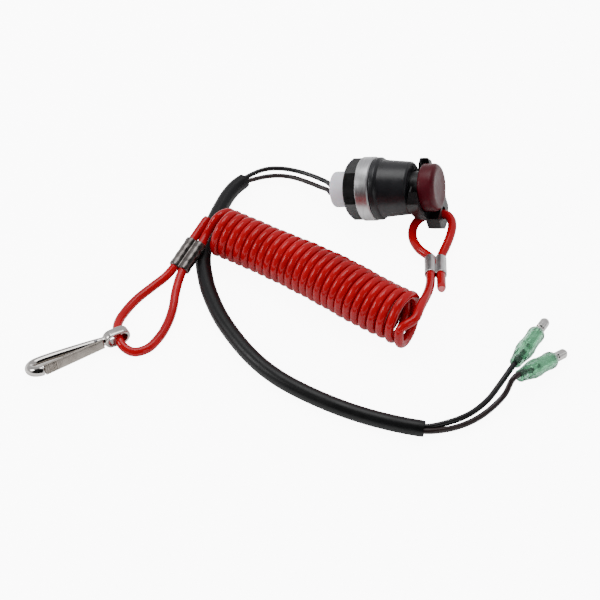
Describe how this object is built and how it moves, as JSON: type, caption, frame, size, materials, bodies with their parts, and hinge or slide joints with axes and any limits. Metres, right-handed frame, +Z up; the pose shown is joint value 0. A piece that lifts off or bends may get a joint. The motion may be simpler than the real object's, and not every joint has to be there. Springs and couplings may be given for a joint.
{
  "type": "engine kill switch with lanyard",
  "caption": "Push-button stop switch on a panel barrel, held out by a fork clip on a coiled red lanyard with a snap hook, and wired through a sleeve to bullet terminals.",
  "frame": {"origin": "on the surface that the switch lies on, under the middle of the switch and its clip seen from above", "axes": "+X along the switch as seen from above, from the wires towards the push button; +Y away from the coiled lanyard; +Z up"},
  "size_m": [0.2027, 0.1449, 0.031],
  "materials": {
    "barrel_plastic": "moulded, threaded",
    "nut_plastic": "moulded, satin",
    "ring_metal": "turned and plated",
    "housing_plastic": "glossy moulding",
    "plug_plastic": "white moulding",
    "contact_brass": "plain",
    "plunger_plastic": "moulded",
    "spring_steel": "drawn wire and strip",
    "seal_rubber": "moulded",
    "button_plastic": "wine red moulding",
    "clip_plastic": "black moulding",
    "wire_black_pvc": "extruded",
    "wire_brown_pvc": "extruded",
    "sleeve_pvc": "satin extruded tube",
    "terminal_tin": "tin plated brass",
    "insulator_pvc": "translucent green",
    "cord_red": "glossy jacket",
    "ferrule_dark": "dark nickel, crimped",
    "ferrule_bright": "bright nickel, crimped",
    "hook_nickel": "polished nickel plate",
    "gate_steel": "polished strip",
    "pin_steel": "plain"
  },
  "bodies": {
    "switch": {"barrel": "barrel_plastic", "mounting_nut": "nut_plastic", "panel_ring": "ring_metal", "front_housing": "housing_plastic", "rear_plug": "plug_plastic", "contact_black": "contact_brass", "contact_brown": "contact_brass", "return_spring": "spring_steel", "plunger_seal": "seal_rubber", "wire_black": "wire_black_pvc", "wire_brown": "wire_brown_pvc", "sleeve": "sleeve_pvc", "terminal_black": "terminal_tin", "terminal_brown": "terminal_tin", "insulator_black": "insulator_pvc", "insulator_brown": "insulator_pvc", "lanyard_coil": "cord_red", "lanyard_loop_hook": "cord_red", "lanyard_loop_clip": "cord_red", "ferrule_hook": "ferrule_dark", "ferrule_clip": "ferrule_bright", "hook_frame": "hook_nickel", "gate_pin": "pin_steel", "gate_spring": "spring_steel"},
    "button": {"button_cap": "button_plastic", "plunger": "plunger_plastic", "contact_disc": "contact_brass", "retaining_ring": "spring_steel"},
    "clip": {"lanyard_clip": "clip_plastic"},
    "gate": {"hook_gate": "gate_steel"}
  },
  "joints": [
    {"name": "button_press", "type": "slide", "parent": "switch", "child": "button", "axis": [-0.9645, 0, -0.264], "range_m": [0, 0.0015], "stiffness_N_per_m": 600, "springref_m": -0.001, "deforming": ["return_spring"]},
    {"name": "clip_pull", "type": "slide", "parent": "switch", "child": "clip", "axis": [0.2637, 0.0523, -0.9632], "range_m": [0, 0.0145], "deforming": ["lanyard_loop_clip"]},
    {"name": "gate_swing", "type": "hinge", "parent": "switch", "child": "gate", "pos_m": [-0.09102, -0.10906, 0.00418], "axis": [0.2787, -0.2739, -0.9205], "range_deg": [0, 9], "stiffness_Nm_per_rad": 0.05, "deforming": ["gate_spring"]}
  ]
}
